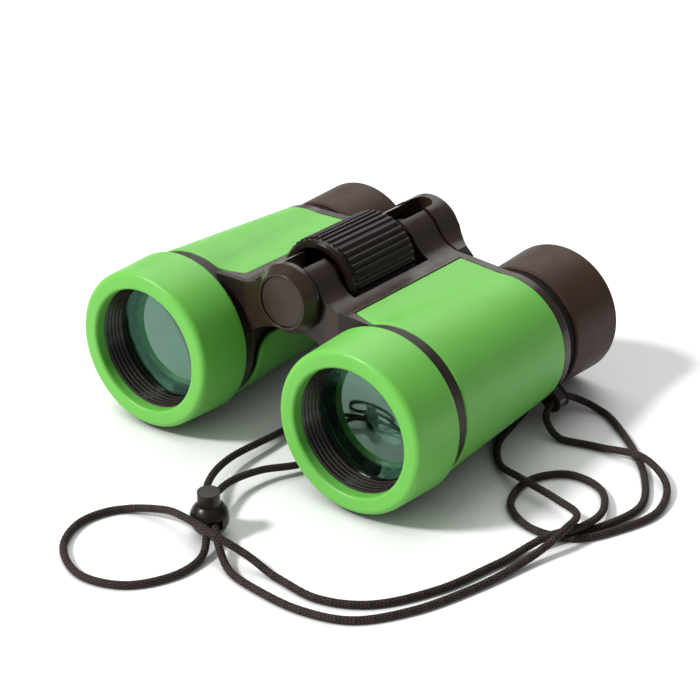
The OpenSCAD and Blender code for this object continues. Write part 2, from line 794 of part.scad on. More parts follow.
// Cap behind the rear knuckle, with a thin parting groove where it meets the knuckle
module rear_hinge_cap() {
    parting = 0.5;
    color("#2b2422")
        right()
            difference() {
                union() {
                    hinge_rod(knuckle_r - parting, groove_y, groove_y + 2 * parting);
                    intersection() {
                        slice(groove_y + parting, groove_y + rear_cap_len) cap_outline();
                        cap_plan();
                    }
                }
                hinge_rod(pin_d / 2 + running, groove_y - eps, groove_y + pin_hole_depth);
                hinge_slot(groove_y - eps, groove_y + rear_slot_len - slot_w / 2);
                translate([0, groove_y + rear_slot_len - slot_w / 2, hinge_height + slot_floor])
                    cylinder(d = slot_w, h = knuckle_r);
            }
}
module cap_outline() {
    intersection() {
        web_outline(rear_cap_r, 0);
        translate(hinge_pt) circle(rear_cap_reach + 0.6);
    }
}
// Plan of the cap: its flare narrows towards the rear
module cap_plan() {
    square_end = rear_cap_r - 1.7;
    translate([0, groove_y, -shelf_height])
        linear_extrude(height = 3 * shelf_height)
            polygon([
                [-2 * rear_cap_r, -1],
                [rear_cap_reach, -1],
                [rear_cap_reach, 0.6],
                [square_end, rear_cap_len + 1],
                [-2 * rear_cap_r, rear_cap_len + 1]
            ]);
}

module wheel_washer() {
    color("ivory")
        right()
            difference() {
                hinge_rod(washer_d / 2, washer_y, washer_y + washer_t);
                hinge_rod(pin_d / 2 + running, washer_y - eps, washer_y + washer_t + eps);
            }
}
module front_disc() {
    color("#4a423f")
        left()
            hinge_rod(disc_d / 2, boss_y + disc_recess - disc_t, boss_y + disc_recess);
}

module focus_wheel() {
    wheel_end = wheel_y + wheel_len;
    hub_r = washer_d / 2;
    rim_r = wheel_d / 2 - rib_r + 0.05;
    color("#2a2321")
        right()
            difference() {
                union() {
                    round_hinge()
                        polygon([
                            [0, wheel_y],
                            [rim_r - rim_bevel, wheel_y],
                            [rim_r, wheel_y + rim_bevel],
                            [rim_r, wheel_end],
                            [0, wheel_end]
                        ]);
                    for (i = [0 : wheel_ribs - 1])
                        translate([0, 0, hinge_height])
                            rotate([0, 360 * i / wheel_ribs, 0])
                                translate([0, wheel_y + wheel_rim, wheel_d / 2 - rib_r])
                                    rotate([-90, 0, 0])
                                        cylinder(r = rib_r, h = wheel_len - wheel_rim - rear_rim);
                }
                hinge_rod(screw_d / 2, wheel_y - eps, wheel_end + eps);
                for (y = [wheel_y, wheel_end - wheel_hollow])
                    difference() {
                        hinge_rod(wheel_d / 2 - wheel_wall, y - eps, y + wheel_hollow + eps);
                        hinge_rod(hub_r, y - 1, y + wheel_hollow + 1);
                    }
            }
}
module focus_screw() {
    color("goldenrod")
        right()
            difference() {
                hinge_rod(screw_d / 2, wheel_y, screw_end);
                hinge_rod(pin_d / 2 + running, wheel_y - eps, screw_end + eps);
            }
}

// Nut with a front flange that the right arm grips, a neck and a rear flange
module focus_nut() {
    color("#3b3b3f")
        right()
            difference() {
                union() {
                    hinge_rod(nut_neck_d / 2, right_arm_y, nut_end);
                    hinge_rod(nut_d / 2, nut_flange_y, nut_end);
                }
                hinge_rod(screw_d / 2 + running, right_arm_y - eps, nut_end + eps);
            }
}
module focus_arm(y1, y2, ring_d, bore_d) {
    difference() {
        union() {
            hinge_rod(ring_d / 2, y1, y2);
            arm_bar(y1, y2, 0, arm_end, arm_h);
        }
        hinge_rod(bore_d / 2, y1 - eps, y2 + eps);
    }
}
module right_focus_arm() {
    color("#3b3b3f")
        right()
            focus_arm(right_arm_y, right_arm_y + right_arm_t, nut_d, nut_neck_d);
}
module left_focus_arm() {
    color("#3b3b3f")
        left()
            focus_arm(left_arm_y, left_arm_y + left_arm_t, arm_ring_d, nut_neck_d + 2 * running);
}

// Sliding tube with the eye lens's seat at its rear end and a pocket for its arm
module eyepiece_tube(arm_y, arm_t) {
    lens_y = tube_end - eye_ring_len - eye_lens_edge;
    seat_r = eye_lens_d / 2 - eye_seat_w;
    color("#1f1b1a")
        difference() {
            round_barrel()
                polygon([
                    [tube_bore_d / 2, tube_y],
                    [tube_d / 2, tube_y],
                    [tube_d / 2, tube_end],
                    [eye_lens_d / 2 + push_gap, tube_end],
                    [eye_lens_d / 2 + push_gap, lens_y],
                    [seat_r, lens_y],
                    [seat_r, lens_y - eye_seat_w],
                    [tube_bore_d / 2, lens_y - eye_seat_w]
                ]);
            arm_bar(arm_y, arm_y + arm_t, 0, arm_end, arm_h);
        }
}
module right_eyepiece_tube() right() eyepiece_tube(right_arm_y, right_arm_t);
module left_eyepiece_tube() left() eyepiece_tube(left_arm_y, left_arm_t);

module eye_lens() {
    lens_y = tube_end - eye_ring_len - eye_lens_edge;
    dish = cap_height(eye_lens_r, eye_lens_d / 2 - eye_seat_w);
    round_barrel()
        difference() {
            translate([0, lens_y]) square([eye_lens_d / 2, eye_lens_edge]);
            for (y = [lens_y + dish - eye_lens_r, lens_y + eye_lens_edge - dish + eye_lens_r])
                translate([0, y]) circle(eye_lens_r, $fn = fine);
        }
}
module right_eye_lens() color("#a9c4c0", 0.5) right() eye_lens();
module left_eye_lens() color("#a9c4c0", 0.5) left() eye_lens();

module eye_ring() {
    difference() {
        barrel_rod(eye_lens_d / 2, tube_end - eye_ring_len, tube_end);
        barrel_rod(eye_lens_d / 2 - eye_seat_w, tube_end - eye_ring_len - eps, tube_end + eps);
    }
}
module right_eye_ring() color("#1f1b1a") right() eye_ring();
module left_eye_ring() color("#1f1b1a") left() eye_ring();

module cord(route) {
    rings = len(route);
    points = flat([for (k = [0 : rings - 1]) cord_ring(route, k)]);
    faces = concat(
        tube_sides(rings, cord_sides),
        fan_cap(0, cord_sides, true),
        fan_cap((rings - 1) * cord_sides, cord_sides, false)
    );
    color("#2a1f1b") polyhedron(points, faces);
}
module cord_left() cord(cord_left_route);
module cord_middle() cord(cord_middle_route);
module cord_right() cord(cord_right_route);

// Stopper knot in front of the left lug's eye, round the start of the left cord
module cord_knot() {
    color("#2a1f1b")
        left()
            difference() {
                translate([half_spacing, rim_y, 0])
                    rotate([0, lug_angle, 0])
                        translate([lug_eye_r, 0, 0])
                            rotate([90, 0, 0])
                                rotate_extrude()
                                    translate([knot_d / 4 + cord_d / 4, knot_d / 4])
                                        circle(knot_d / 4 - cord_d / 4);
                barrel_rod(grip_rear_d / 2 + 4 * glue_gap, rim_y - knot_d, rim_y + 1);
            }
}

// Frame of the cord lock: the cord runs along X and the plunger points up
module at_lock() translate(lock_at) rotate([0, 0, lock_turn]) children();
module cord_hole(width, low, high) {
    translate([-lock_d, -width / 2, low]) cube([2 * lock_d, width, high - low]);
}
// Mouths of the cord hole, wider towards the outside of the ball
module hole_mouths() {
    flare = 1.2;
    for (side = [0, 180])
        rotate([0, 0, side])
            translate([0, 0, -lock_hole_h / 2])
                linear_extrude(height = lock_hole_h)
                    polygon([
                        [plunger_d / 2, -lock_hole_w / 2],
                        [lock_d / 2, -lock_hole_w / 2 - flare],
                        [lock_d / 2, lock_hole_w / 2 + flare],
                        [plunger_d / 2, lock_hole_w / 2]
                    ]);
}
module lock_ball() {
    color("#241d1c")
        at_lock()
            difference() {
                sphere(d = lock_d);
                translate([0, 0, plunger_foot - plunger_travel])
                    cylinder(d = plunger_d + 2 * running, h = lock_d);
                translate([0, 0, spring_seat])
                    cylinder(d = spring_d + 4 * running, h = lock_d / 2);
                cord_hole(lock_hole_w, -lock_hole_h / 2, lock_hole_h / 2);
                hole_mouths();
            }
}
module lock_plunger() {
    color("#241d1c")
        at_lock()
            difference() {
                translate([0, 0, plunger_foot])
                    cylinder(d = plunger_d, h = lock_d / 2 + plunger_rise - plunger_foot);
                cord_hole(lock_hole_w, -lock_hole_h / 2, lock_hole_h / 2 + plunger_travel);
            }
}
module lock_spring() {
    color("silver")
        at_lock()
            translate([0, 0, spring_seat])
                difference() {
                    cylinder(d = spring_d, h = plunger_foot - spring_seat);
                    translate([0, 0, -eps])
                        cylinder(d = spring_d / 2, h = plunger_foot - spring_seat + 2 * eps);
                }
}

right_barrel();
right_grip();
right_cup();
right_objective_ring();
right_objective_lens();
right_eyecup();
hinge_pin();
rear_hinge_cap();
wheel_washer();
left_barrel();
left_grip();
left_cup();
left_objective_ring();
left_objective_lens();
left_eyecup();
front_disc();
focus_wheel();
focus_screw();
focus_nut();
right_focus_arm();
right_eyepiece_tube();
right_eye_lens();
right_eye_ring();
left_focus_arm();
left_eyepiece_tube();
left_eye_lens();
left_eye_ring();
cord_left();
cord_middle();
cord_right();
cord_knot();
lock_ball();
lock_plunger();
lock_spring();
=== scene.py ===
import json
import math

import bpy
import numpy as np
from mathutils import Matrix, Vector


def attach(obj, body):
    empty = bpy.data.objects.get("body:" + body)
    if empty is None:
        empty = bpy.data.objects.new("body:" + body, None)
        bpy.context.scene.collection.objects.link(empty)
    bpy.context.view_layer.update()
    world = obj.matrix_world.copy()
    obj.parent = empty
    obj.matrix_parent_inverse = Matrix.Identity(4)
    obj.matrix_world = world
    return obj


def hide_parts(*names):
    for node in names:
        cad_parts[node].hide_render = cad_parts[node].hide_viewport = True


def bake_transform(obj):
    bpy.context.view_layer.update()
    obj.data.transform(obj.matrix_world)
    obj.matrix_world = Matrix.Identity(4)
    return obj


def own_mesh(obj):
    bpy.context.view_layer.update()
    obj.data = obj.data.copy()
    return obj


# Looks of the toy binoculars: finishes, a braided neck cord, smooth grip panels and a white floor

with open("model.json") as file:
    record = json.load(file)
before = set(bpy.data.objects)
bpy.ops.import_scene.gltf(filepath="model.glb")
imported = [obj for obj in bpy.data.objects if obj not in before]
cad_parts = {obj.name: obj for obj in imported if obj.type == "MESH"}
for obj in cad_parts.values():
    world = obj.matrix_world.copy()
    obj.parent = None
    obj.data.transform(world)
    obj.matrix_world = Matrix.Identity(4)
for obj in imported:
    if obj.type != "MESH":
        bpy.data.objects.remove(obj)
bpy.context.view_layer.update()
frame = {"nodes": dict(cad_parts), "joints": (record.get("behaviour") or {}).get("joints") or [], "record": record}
nodes = frame["nodes"]

# Lengths below are in millimetres and angles in degrees, unless a comment says otherwise
MM = 0.001

# Camera, fitted to the cups' circles, the barrels and the hinge in the photograph
CAMERA_AZIMUTH = 38.02
CAMERA_ELEVATION = 28.70
CAMERA_DISTANCE = 489.3
CAMERA_TARGET = (-4.11, 2.50, 10.65)
CAMERA_LENS = 100.06
CAMERA_SENSOR = 36
CAMERA_CLIP = 10

# Barrel frame, from the right eyepiece's slide: its joint lies on the barrel's axis, SLIDE_Y behind the
# cup's lip. The barrels' tilt is in radians
SLIDE_Y = 65.0
slide = next(joint for joint in frame["joints"] if joint["name"] == "right_slide")
HALF_SPACING, STAND_Y, STAND_Z = (v / MM for v in slide["pos_m"])
TILT = math.atan2(-slide["axis"][2], slide["axis"][1])

# Neck cord: its thickness, and the routes of its three stretches. The last three points of the right
# stretch carry its end on under the crossing, past the end of the CAD cord
CORD_D = 1.8
CORD_LEFT = [
    (-45.7, 17, 5.7), (-45.7, 22, 5.5), (-45.3, 25.8, 4.5), (-43.2, 28.7, 3.1), (-39.8, 29, 1.9),
    (-37, 26.9, 1.1), (-34.4, 24.4, 0.9), (-30.8, 23.3, 0.9), (-26, 23.2, 0.9),
    (-22, 22.6, 0.9), (-15.4, 18.8, 0.9), (-9.4, 10.4, 1), (-3.4, 1.8, 2.1), (3.2, -5.6, 2.9),
    (9.4, -13.6, 2), (12.4, -24, 1.2), (11.6, -36.5, 2.2), (7.2, -45.6, 3.3), (5.6, -54, 4),
    (6.7, -60.2, 4.5), (8.71, -64.37, 4.5), (12.04, -67.69, 4.5),
]
CORD_MIDDLE = [
    (13.31, -68.96, 4.5), (15.64, -71.3, 4.35), (19.8, -74.8, 3), (26, -78.4, 1.1),
    (35, -79.9, 0.9), (47, -79.8, 0.9), (57.5, -76, 0.9), (65.5, -65.6, 0.9), (71.5, -50, 0.9),
    (75.4, -34, 2), (77.4, -25, 4.8), (76.6, -18.6, 4.9), (68.4, -13.6, 3.2), (56, -10.6, 2.9),
    (47.5, -6, 0.9), (42, 1.5, 0.9), (39.6, 12, 0.9), (38.2, 18.8, 0.9), (34.4, 23.2, 0.9),
    (29, 23.6, 0.9), (22, 20, 0.9), (16, 10.4, 0.9), (9.6, 0.8, 0.9), (3.4, -8, 0.9),
    (-0.7, -18, 1.2), (-1.5, -33, 2.6), (-1.9, -46, 3.4), (0, -54, 3.9), (3.4, -60.4, 4.4),
    (7.37, -65.71, 4.5), (10.69, -69.04, 4.5),
]
CORD_RIGHT = [
    (11.96, -70.31, 4.5), (14.3, -72.64, 4.35), (17.8, -78, 1.4), (17.6, -86.5, 0.9),
    (11.5, -96, 0.9), (1, -99.2, 0.9), (-9.5, -93.6, 0.9), (-13.2, -84, 0.9), (-9.4, -74.9, 0.9),
    (0, -71.6, 2.9), (8.8, -74.2, 6), (18.6, -75.6, 6.2), (27, -73.8, 3.2), (35, -73.8, 0.9),
    (47, -74.4, 0.9), (57, -69.4, 0.9), (65.5, -56, 0.9), (70.4, -39, 0.9), (74, -26.6, 2.4),
    (78.4, -18.6, 2.9), (78.2, -10, 2.2), (71.5, -0.4, 0.9), (62.5, 0.2, 0.9), (56.9, -7.5, 0.9),
    (59, -18.6, 0.9), (68, -24, 0.9), (78, -21.4, 0.9), (84, -12, 0.9), (87.2, -1, 0.9),
    (83.6, 9.4, 1.6), (74.5, 14.5, 3), (62, 15, 1), (52, 12.6, 1.1), (47, 14.6, 3.8),
    (45.7, 19, 5.6), (45.7, 24, 5.3), (47.4, 28.2, 3.2), (53, 30.2, 0.9), (64.5, 23, 0.9),
    (77, 10.6, 0.9), (83, -1.5, 0.9), (80, -14.4, 0.9), (78.2, -17.6, 0.9), (75.6, -20, 0.9),
    (73.9, -20.7, 0.9),
]
# Points where a stretch that crosses the hinge would stop following the right half and follow the left one; these
# stretches are not made to follow either half
LEFT_BEND = ((6, 0, 2), (-14, 0, 2))
MIDDLE_BEND = ((4, -30, 2), (-6, -30, 2))
# The curve's steps between two points of a route, the spacing and sides of the cord's rings, and how many
# rings there are to each point of the path that it returns
CURVE_STEPS = 40
RING_STEP = 0.25
RING_SIDES = 32
PATH_EVERY = 4
# Braid: the length of a strand's turn, the strands each way, and how deep the gaps between them are
BRAID_PITCH = 3.2
BRAID_STRANDS = 4
BRAID_DEPTH = 0.09
# Heat-sealed tip: its length, and the least share of the cord's section that is left at its end
SEAL_LENGTH = 0.6
SEAL_LEAST = 0.02

# Stopper knot: a trefoil's place, scale and depth, the radius of its cord, and the turns of its braid
KNOT_AT = (-45.69, 17.75, 5.6)
KNOT_SCALE = 0.62
KNOT_DEPTH = 1.1
KNOT_CORD_R = 0.72
KNOT_TURNS = 30
KNOT_STEPS = 220
KNOT_SIDES = 16

# Plunger's spring: the middle of its lower end, and its sizes
SPRING_AT = (12, -69, 0.95)
SPRING_D = 3.2
SPRING_WIRE = 0.25
SPRING_LEN = 1.6
SPRING_TURNS = 3
SPRING_STEPS = 32
SPRING_SIDES = 8

# Grip panels, with the CAD panel's sizes, carried on up to the web on the inner side. Each runs from the
# shelf beside the hinge through a valley onto the barrel, and round it to PANEL_END
GRIP_Y, RIM_Y = 19.0, 63.4
GRIP_RADII = (19.5, 17.3)
GRIP_WALL = 1.2
GRIP_EDGE_ROUND = 0.5
SHELF = np.array([16.5, 17.8])
SHELF_DROP = 0.8
SHELF_SLOPE = SHELF_DROP / (HALF_SPACING - SHELF[0])
VALLEY_R = 16.0
PANEL_END = -186
# The front corner on the shelf is set back over a short run, and the one on the inner side is rounded
CORNER_SETBACK, CORNER_RUN = 2.2, 7.0
INNER_CORNER_R = 5.0
# Points along the shelf, the valley and the barrel, rows of points each way, the panel's width for their
# spacing, and the distances of the rows beside an edge
SHELF_POINTS, VALLEY_POINTS, BARREL_POINTS = 60, 80, 400
ROWS_ACROSS, ROWS_ALONG = 164, 40
PANEL_WIDTH = 98
EDGE_ROWS = (0, 0.04, 0.12, 0.22, 0.35, 0.5)

# Noise patterns: the size of their lumps and their detail, and the range that most of their values are in
CLOUD = (9, 3)
GLOSS_PATCHES = (4, 3)
GRAIN_DETAIL = 2
DUST = (6, 5)
FIBRE = (0.12, 2)
BRUSHED = (0.8, 4)
NOISE_RANGE = (0.3, 0.7)

# Moulded pieces: colour, its variation, roughness, grain size and depth, edge rounding, specular level
GREEN = (0.155, 0.52, 0.075)
MOULDED = {
    "grip_green": (GREEN, 0.03, 0.46, 0.35, 0.010, 0.35, 0.40),
    "cup_green": (GREEN, 0.03, 0.42, 0.35, 0.010, 0.35, 0.40),
    "shell_black": ((0.034, 0.019, 0.013), 0.12, 0.27, 0.50, 0.006, 0.30, 0.35),
    "wheel_black": ((0.014, 0.007, 0.005), 0.12, 0.24, 0.40, 0.004, 0.20, 0.20),
    "eyecup_rubber": ((0.054, 0.029, 0.019), 0.12, 0.46, 0.30, 0.012, 0.30, 0.14),
    "ring_black": ((0.003, 0.0025, 0.002), 0.10, 0.24, 0.40, 0.006, 0.10, 0.45),
    "inner_black": ((0.010, 0.008, 0.007), 0.10, 0.55, 0.40, 0.010, 0.10, 0.50),
    "lock_black": ((0.018, 0.011, 0.009), 0.10, 0.30, 0.50, 0.004, 0.30, 0.25),
    "washer_plastic": ((0.55, 0.53, 0.47), 0.04, 0.40, 0.50, 0.010, 0.10, 0.50),
}
# How far their roughness varies each way, the reach of the shade painted into their hollows, and samples for
# it and for the edges
ROUGHNESS_SPREAD = 0.06
HOLLOW_SHADE_REACH = 1.6
OCCLUSION_SAMPLES = 8
EDGE_SAMPLES = 6

# Painted shade in the shell's sunken bands before and behind the grip panels, darkening them towards black:
# where the front one ends and the rear one starts, their least distance from the hinge, the softness of their
# borders, the share of the colour that is left in each, and the roughness that goes with no colour left
BAND_FRONT_Y, BAND_REAR_Y, BAND_X, BAND_SOFT = 18.9, 65.9, 13.5, 0.3
FRONT_SHADE, REAR_SHADE = 0.5, 0.1
BAND_ROUGHNESS = 0.95

# The front rings' ridges, as in the CAD model: where they start, how far apart they are, and the place of
# the crest as a share of that. The pale painted highlight on the crest fades between two more such shares
RIDGES_Y, RIDGE_PITCH, RIDGE_CREST = 1.5, 1.12, 0.6
RIDGE_HIGHLIGHT_FADE = (0.06, 0.24)
RIDGE_HIGHLIGHT_COLOUR = (0.050, 0.040, 0.035)

# Coated lenses: colour, gloss tint, index, and the roughness that dust gives in its range of the noise
LENS_COLOUR = (0.36, 0.62, 0.50, 1)
LENS_TINT = (0.60, 1.0, 0.78, 1)
LENS_IOR = 2.1
DUST_ROUGHNESS = (0.01, 0.05)
DUST_RANGE = (0.45, 0.75)

# Braid: painted shade in its gaps, the colour of its strands, the heights between which they change, and its
# fibres
BRAID_GAP_SHADE = (0.003, 0.002, 0.0015)
BRAID_LIGHT = (0.070, 0.041, 0.035)
BRAID_RANGE = (0.45, 1.0)
BRAID_ROUGHNESS = (0.62, 0.82)
BRAID_SPECULAR = 0.25
BRAID_SHEEN, BRAID_SHEEN_ROUGHNESS = 0.05, 0.4
FIBRE_DEPTH, FIBRE_STRENGTH = 0.02, 0.8

# Metals: colour and least roughness, then how much darker and rougher their brushed marks are
METALS = {
    "steel": ((0.55, 0.55, 0.56), 0.28),
    "brass": ((0.62, 0.46, 0.19), 0.30),
}
BRUSHED_DARK = 0.8
BRUSHED_SPREAD = 0.15

# Each sun's direction, from the object to it, its strength and its angular size, and the world's light
SUNS = (
    ((-0.55, -0.75, 0.90), 3.0, 10),
    ((-0.50, 0.60, 0.85), 1.5, 60),
    ((-0.30, -1.00, 0.15), 0.6, 50),
)
AMBIENT = 0.24
WHITE = (1, 1, 1, 1)

# The floor's colour as it is seen, as it lights the object and as painted shade where the object touches it, the
# reach of that painted shade and the openness at which it ends, and a lift that keeps the open floor white
FLOOR_SIZE = 3000
FLOOR_WHITE = (0.97, 0.97, 0.97)
FLOOR_BOUNCE = (0.76, 0.76, 0.76)
FLOOR_CONTACT_SHADE = (0.12, 0.12, 0.12)
CONTACT_REACH, CONTACT_OPEN = 25, 0.7
FLOOR_LIFT = 0.09
FLOOR_ROUGHNESS, FLOOR_SPECULAR = 0.9, 0.1

# Places of the colour sockets on a Mix node
MIX_ONE, MIX_TWO, MIX_RESULT = 6, 7, 2


def make_camera():
    azimuth = math.radians(CAMERA_AZIMUTH)
    elevation = math.radians(CAMERA_ELEVATION)
    back = Vector((
        math.sin(azimuth) * math.cos(elevation),
        -math.cos(azimuth) * math.cos(elevation),
        math.sin(elevation),
    ))
    right = Vector((math.cos(azimuth), math.sin(azimuth), 0))
    up = back.cross(right)
    data = bpy.data.cameras.new("camera")
    data.lens = CAMERA_LENS
    data.sensor_width = CAMERA_SENSOR
    data.clip_start = CAMERA_CLIP * MM
    camera = bpy.data.objects.new("camera", data)
    place = (Vector(CAMERA_TARGET) + back * CAMERA_DISTANCE) * MM
    turn = Matrix((right, up, back)).transposed().to_4x4()
    camera.matrix_world = Matrix.Translation(place) @ turn
    bpy.context.scene.collection.objects.link(camera)
    bpy.context.scene.camera = camera


# Meshes and curves

def new_mesh(name, points, faces, material, smooth=True):
    mesh = bpy.data.meshes.new(name)
    mesh.from_pydata([tuple(p) for p in points], [], faces)
    mesh.validate()
    for polygon in mesh.polygons:
        polygon.use_smooth = smooth
    mesh.materials.append(material)
    piece = bpy.data.objects.new(name, mesh)
    bpy.context.scene.collection.objects.link(piece)
    return piece


def length_run(points):
    """The length of the line from its first point to each of its points."""
    return np.concatenate([[0], np.cumsum(np.linalg.norm(np.diff(points, axis=0), axis=1))])


def values_at(places, run, values):
    """Rows of values, known at each length in run, at other places along it."""
    return np.stack([np.interp(places, run, column) for column in values.T], axis=1)


def unit_rows(vectors):
    return vectors / np.linalg.norm(vectors, axis=1)[:, None]


def smooth_route(route, step):
    """Points every step on a centripetal Catmull-Rom curve through the route, never below the floor."""
    p = np.array(route, float)
    p = np.vstack([2 * p[0] - p[1], p, 2 * p[-1] - p[-2]])
    gaps = np.sqrt(np.linalg.norm(np.diff(p, axis=0), axis=1))
    dense = []
    for i in range(1, len(p) - 2):
        p0, p1, p2, p3 = p[i - 1:i + 3]
        t1, t2, t3 = np.cumsum(gaps[i - 1:i + 2])
        for t in np.linspace(t1, t2, CURVE_STEPS, endpoint=False):
            a1 = (p0 * (t1 - t) + p1 * t) / t1
            a2 = (p1 * (t2 - t) + p2 * (t - t1)) / (t2 - t1)
            a3 = (p2 * (t3 - t) + p3 * (t - t2)) / (t3 - t2)
            b1 = (a1 * (t2 - t) + a2 * t) / t2
            b2 = (a2 * (t3 - t) + a3 * (t - t1)) / (t3 - t1)
            dense.append((b1 * (t2 - t) + b2 * (t - t1)) / (t2 - t1))
    dense = np.vstack([dense, p[-2]])
    dense[:, 2] = np.maximum(dense[:, 2], CORD_D / 2)
    run = length_run(dense)
    places = np.linspace(0, run[-1], int(round(run[-1] / step)) + 1)
    return values_at(places, run, dense)


def ring_points(line, tangent, axis, angle, radius):
    """A ring of points round each point of a line, with a radius for each ring and angle.

    The angles start square to the axis, which is a direction that the line never runs in.
    """
    side = unit_rows(np.cross(tangent, axis))
    up = np.cross(side, tangent)
    out = np.cos(angle)[None, :, None] * side[:, None, :] + np.sin(angle)[None, :, None] * up[:, None, :]
    return (line[:, None, :] + radius[:, :, None] * out).reshape(-1, 3)


def ring_faces(rings, sides, closed=False):
    """Faces between neighbouring rings, and from the last to the first where the tube is closed."""
    faces = []
    for k in range(rings if closed else rings - 1):
        one = k * sides
        two = (k + 1) % rings * sides
        for i in range(sides):
            j = (i + 1) % sides
            faces.append((one + i, one + j, two + j, two + i))
    return faces


def keep_braid(piece, height):
    """Stores the braid's height at each point, for the material."""
    braid = piece.data.attributes.new("braid", "FLOAT", "POINT")
    braid.data.foreach_set("value", height.astype(np.float32).ravel())


# Cord and the pieces on it

def braided_tube(name, route, material, sealed_end=False):
    """A round cord with a raised diamond braid, and a heat-sealed tip where it ends bare."""
    line = smooth_route(route, RING_STEP)
    tangent = unit_rows(np.gradient(line, axis=0))
    angle = np.linspace(0, 2 * math.pi, RING_SIDES, endpoint=False)
    along = np.arange(len(line)) * RING_STEP
    turn = 2 * math.pi * along[:, None] / BRAID_PITCH
    one = np.cos(BRAID_STRANDS * angle[None, :] + turn)
    other = np.cos(BRAID_STRANDS * angle[None, :] - turn)
    over = np.cos(turn * 2) * np.cos(2 * BRAID_STRANDS * angle[None, :])
    height = np.where(over > 0, np.abs(one), np.abs(other))
    radius = CORD_D / 2 - BRAID_DEPTH * (1 - height)
    if sealed_end:
        left = (along[-1] - along)[:, None]
        radius = radius * np.sqrt(np.clip(left / SEAL_LENGTH, SEAL_LEAST, 1))
    points = ring_points(line, tangent, [0, 0, 1.0], angle, radius)
    faces = ring_faces(len(line), RING_SIDES)
    faces.append(tuple(range(RING_SIDES - 1, -1, -1)))
    faces.append(tuple(range(len(points) - RING_SIDES, len(points))))
    piece = new_mesh(name, points * MM, faces, material)
    keep_braid(piece, height)
    path = line[::PATH_EVERY]
    if len(line) % PATH_EVERY != 1:
        path = np.vstack([path, line[-1]])
    return piece, path * MM, length_run(path)[-1] * MM


def make_knot():
    """The stopper knot in front of the left lug: a tight trefoil round the cord's end."""
    t = np.linspace(0, 2 * math.pi, KNOT_STEPS, endpoint=False)
    line = KNOT_SCALE * np.stack([
        np.sin(t) + 2 * np.sin(2 * t),
        -KNOT_DEPTH * np.sin(3 * t),
        np.cos(t) - 2 * np.cos(2 * t),
    ], axis=1)
    tangent = unit_rows(np.roll(line, -1, axis=0) - np.roll(line, 1, axis=0))
    angle = np.linspace(0, 2 * math.pi, KNOT_SIDES, endpoint=False)
    height = np.abs(np.cos(BRAID_STRANDS * angle[None, :] + KNOT_TURNS * t[:, None]))
    radius = KNOT_CORD_R - BRAID_DEPTH * (1 - height)
    points = ring_points(line, tangent, [0, 1.0, 0], angle, radius) + KNOT_AT
    faces = ring_faces(KNOT_STEPS, KNOT_SIDES, closed=True)
    piece = new_mesh("stopper_knot", points * MM, faces, MATERIALS["cord_braid"])
    keep_braid(piece, height)
    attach(piece, "left_half")
    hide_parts("cord_knot")
    return piece


def make_spring():
    """The plunger's coil spring, hidden in the lock."""
    share = np.linspace(0, 1, SPRING_STEPS * SPRING_TURNS + 1)
    turn = 2 * math.pi * SPRING_TURNS * share
    around = np.linspace(0, 2 * math.pi, SPRING_SIDES, endpoint=False)
    reach = (SPRING_D - SPRING_WIRE) / 2 + SPRING_WIRE / 2 * np.cos(around)[None, :]
    rise = (SPRING_LEN - SPRING_WIRE) * share[:, None] + SPRING_WIRE / 2 * (1 + np.sin(around))[None, :]
    coil = np.stack([reach * np.cos(turn)[:, None], reach * np.sin(turn)[:, None], rise], axis=2)
    points = (coil.reshape(-1, 3) + SPRING_AT) * MM
    sides = SPRING_SIDES
    faces = [tuple(range(sides)), tuple(range(len(points) - 1, len(points) - sides - 1, -1))]
    for one in range(0, len(points) - sides, sides):
        two = one + sides
        for k in range(sides):
            j = (k + 1) % sides
            faces.append((one + k, two + k, two + j, one + j))
    spring = new_mesh("plunger_spring", points, faces, MATERIALS["steel"])
    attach(spring, "cord_lock")
    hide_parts("lock_spring")
    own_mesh(spring)
    return spring


def make_cords():
    braid = MATERIALS["cord_braid"]
    left, left_path, left_length = braided_tube("neck_cord_left", CORD_LEFT, braid)
    middle, middle_path, middle_length = braided_tube("neck_cord_middle", CORD_MIDDLE, braid)
    right, right_path, right_length = braided_tube("neck_cord_right", CORD_RIGHT, braid, sealed_end=True)
    for piece, (start, end) in ((left, LEFT_BEND), (middle, MIDDLE_BEND)):
        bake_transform(piece)
    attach(right, "right_half")
    for piece, node in ((left, "cord_left"), (middle, "cord_middle"), (right, "cord_right")):
        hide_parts(node)
    ball = [nodes["lock_ball"], make_spring(), make_knot()]


# Grip panels

def unit_arc(start, end, count, endpoint=True):
    """Unit vectors at angles from start to end, in radians."""
    angle = np.linspace(start, end, count, endpoint=endpoint)
    return np.stack([np.cos(angle), np.sin(angle)], axis=1)


